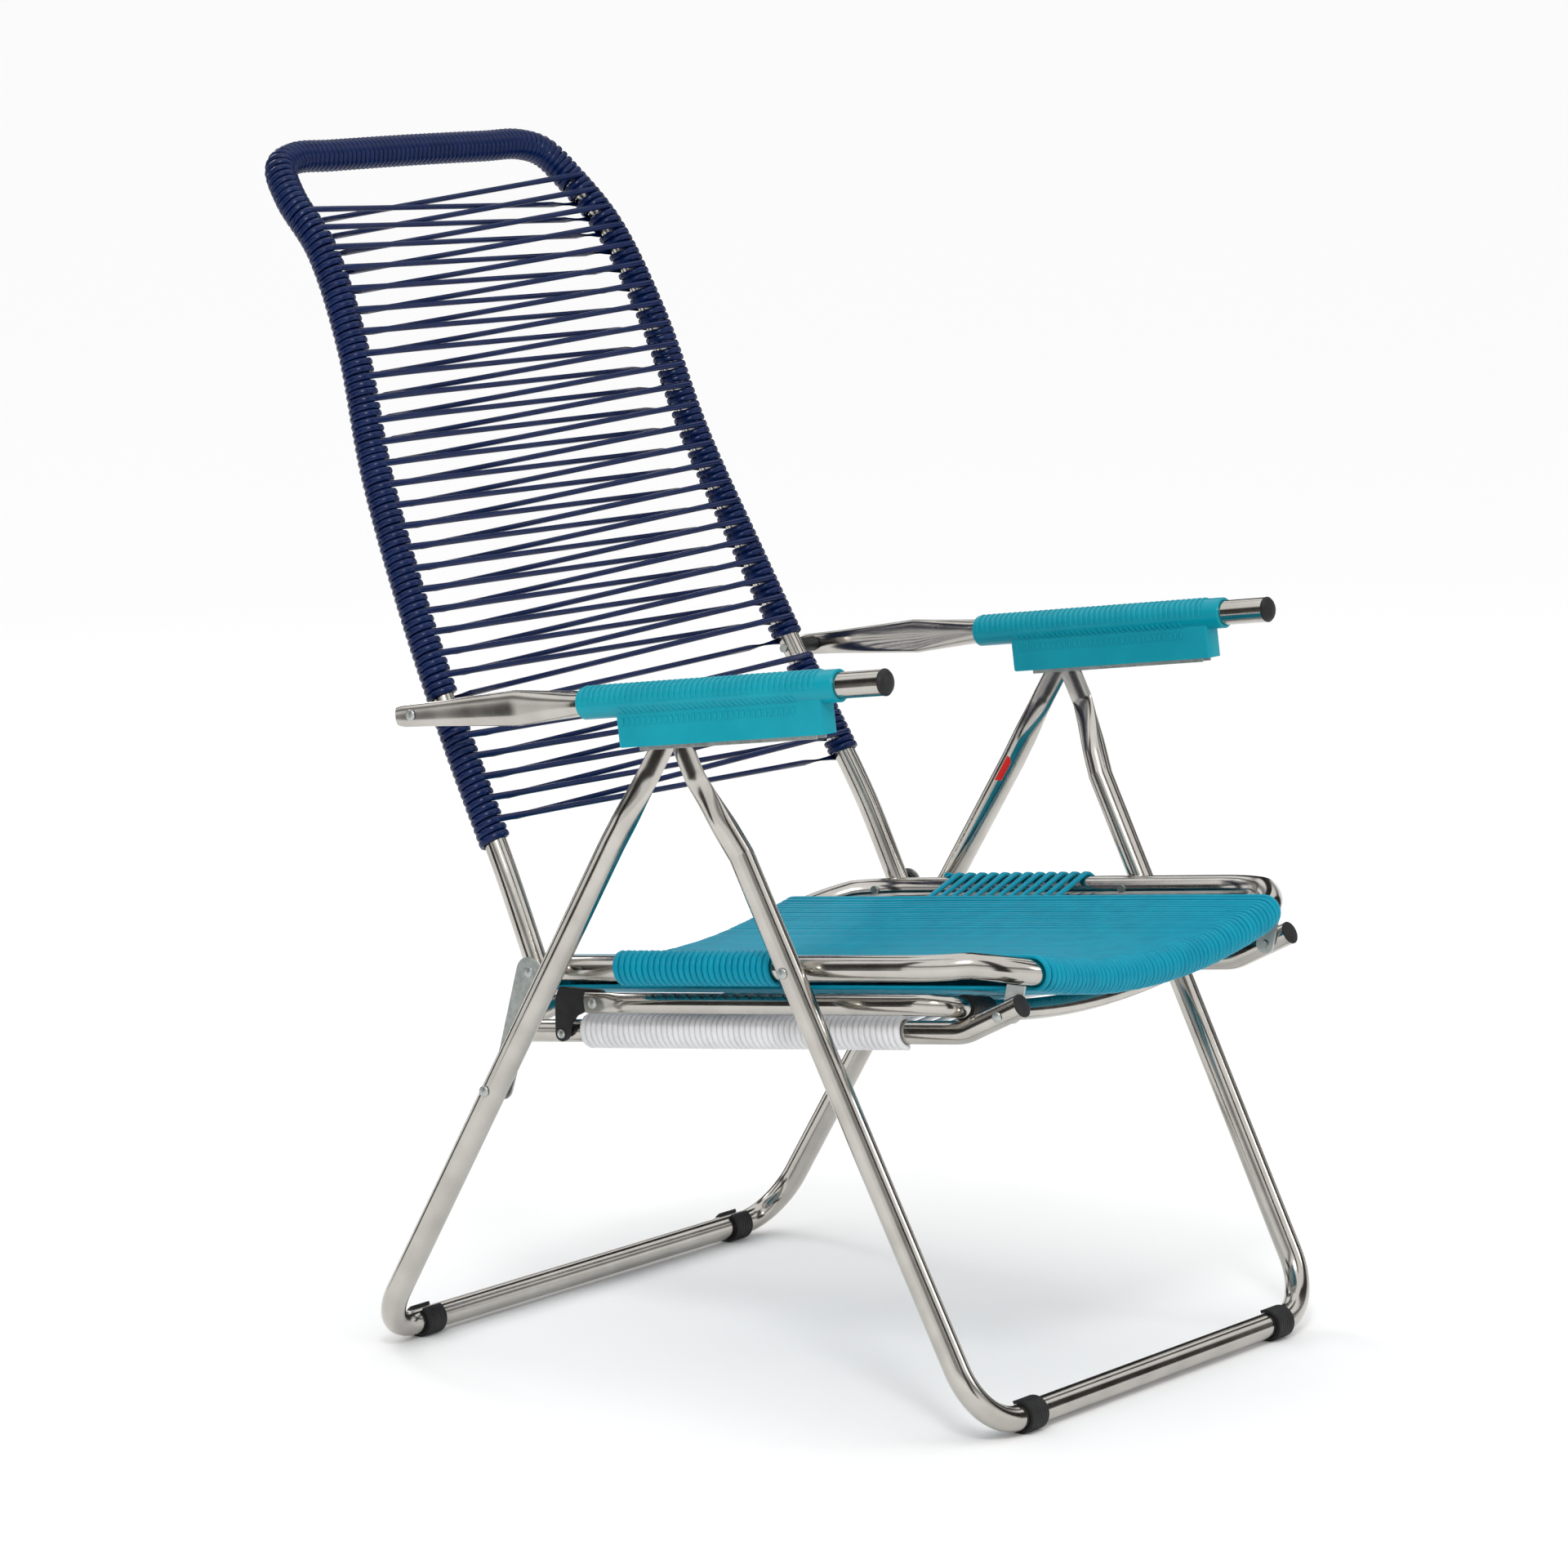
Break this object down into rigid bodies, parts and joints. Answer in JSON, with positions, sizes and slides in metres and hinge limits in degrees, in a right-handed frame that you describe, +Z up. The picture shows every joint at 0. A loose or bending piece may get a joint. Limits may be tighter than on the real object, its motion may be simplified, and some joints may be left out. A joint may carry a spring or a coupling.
{
  "type": "folding beach chair",
  "caption": "Folding beach chair: tubular steel frame laced with plastic cord, reclining back, lockable armrests and a footrest with its own leg stowed under the seat.",
  "frame": {"origin": "middle of the chair's width and depth, on the ground", "axes": "+Z up, the sitter faces -Y, +X is the sitter's left-hand side"},
  "size_m": [0.633, 0.8403, 1.0412],
  "materials": {
    "metal": "bright plated steel tube",
    "zinc": "zinc plated sheet and rivets",
    "black": "moulded black plastic",
    "navy": "dark blue plastic cord, lightly glossy",
    "turquoise": "turquoise plastic cord, lightly glossy",
    "grip": "moulded turquoise plastic",
    "white": "white plastic cord, lightly glossy"
  },
  "bodies": {
    "front_legs": {"front_leg_frame": "metal", "front_foot_R": "black", "front_foot_L": "black", "top_pin_R": "zinc", "top_pin_L": "zinc", "seat_rivet_R": "zinc", "seat_rivet_L": "zinc"},
    "rear_legs": {"rear_leg_frame": "metal", "rear_foot_R": "black", "rear_foot_L": "black", "link_rivet_R": "zinc", "link_rivet_L": "zinc"},
    "seat": {"seat_frame": "metal", "seat_cords": "turquoise", "seat_cross_cords": "turquoise", "footrest_lug_R": "zinc", "footrest_lug_L": "zinc"},
    "links": {"link_plate_R": "zinc", "link_plate_L": "zinc"},
    "back_pivots": {"back_spacer_R": "black", "back_spacer_L": "black", "link_spacer_R": "black", "link_spacer_L": "black", "back_rivet_R": "zinc", "back_rivet_L": "zinc"},
    "backrest": {"backrest_frame": "metal", "back_winding_low_R": "navy", "back_winding_low_L": "navy", "back_winding_top": "navy", "back_cords": "navy"},
    "arm_pivots": {"arm_spacer_R": "black", "arm_spacer_L": "black", "arm_rivet_R": "zinc", "arm_rivet_L": "zinc"},
    "armrests": {"armrest_tube_R": "metal", "armrest_tube_L": "metal", "armrest_cover_R": "grip", "armrest_cover_L": "grip", "armrest_rack_R": "zinc", "armrest_rack_L": "zinc", "armrest_cap_R": "black", "armrest_cap_L": "black"},
    "footrest": {"footrest_frame": "metal", "lug_rivet_R": "zinc", "lug_rivet_L": "zinc", "footrest_cap_R": "black", "footrest_cap_L": "black", "footrest_winding_R": "white", "footrest_winding_L": "white", "footrest_cords": "white", "prop_bracket_R": "black", "prop_bracket_L": "black", "prop_frame": "metal", "prop_foot_R": "black", "prop_foot_L": "black"}
  },
  "joints": [
    {"name": "fold", "type": "hinge", "parent": "front_legs", "child": "rear_legs", "pos_m": [0, -0.11425, 0.5767], "axis": [-1, 0, 0], "range_deg": [0, 47]},
    {"name": "seat_turn", "type": "hinge", "parent": "front_legs", "child": "seat", "pos_m": [0, -0.21675, 0.3782], "axis": [-1, 0, 0], "range_deg": [0, 76.8]},
    {"name": "link_turn", "type": "hinge", "parent": "seat", "child": "links", "pos_m": [0, 0.04755, 0.351], "axis": [-1, 0, 0], "range_deg": [0, 95.6]},
    {"name": "back_turn", "type": "hinge", "parent": "seat", "child": "back_pivots", "pos_m": [0, 0.04755, 0.351], "axis": [-1, 0, 0], "range_deg": [-68.8, 0]},
    {"name": "recline", "type": "hinge", "parent": "back_pivots", "child": "backrest", "pos_m": [0, 0.04755, 0.351], "axis": [-1, 0, 0], "range_deg": [0, 30]},
    {"name": "arm_turn", "type": "hinge", "parent": "backrest", "child": "arm_pivots", "pos_m": [0, 0.16255, 0.5644], "axis": [-1, 0, 0], "range_deg": [0, 63.8]},
    {"name": "arm_level", "type": "hinge", "parent": "arm_pivots", "child": "armrests", "pos_m": [0, 0.16255, 0.5644], "axis": [-1, 0, 0], "range_deg": [-19.4, 0]},
    {"name": "footrest_swing", "type": "hinge", "parent": "seat", "child": "footrest", "pos_m": [0, -0.38935, 0.352], "axis": [-1, 0, 0], "range_deg": [0, 76]}
  ],
  "couplings": [
    {"joint": "seat_turn", "follows": "fold", "ratio": 1.6298},
    {"joint": "link_turn", "follows": "fold", "ratio": 2.0302},
    {"joint": "back_turn", "follows": "fold", "ratio": -1.4602},
    {"joint": "arm_turn", "follows": "fold", "ratio": 1.3535},
    {"joint": "arm_level", "follows": "recline", "ratio": -0.6357}
  ]
}
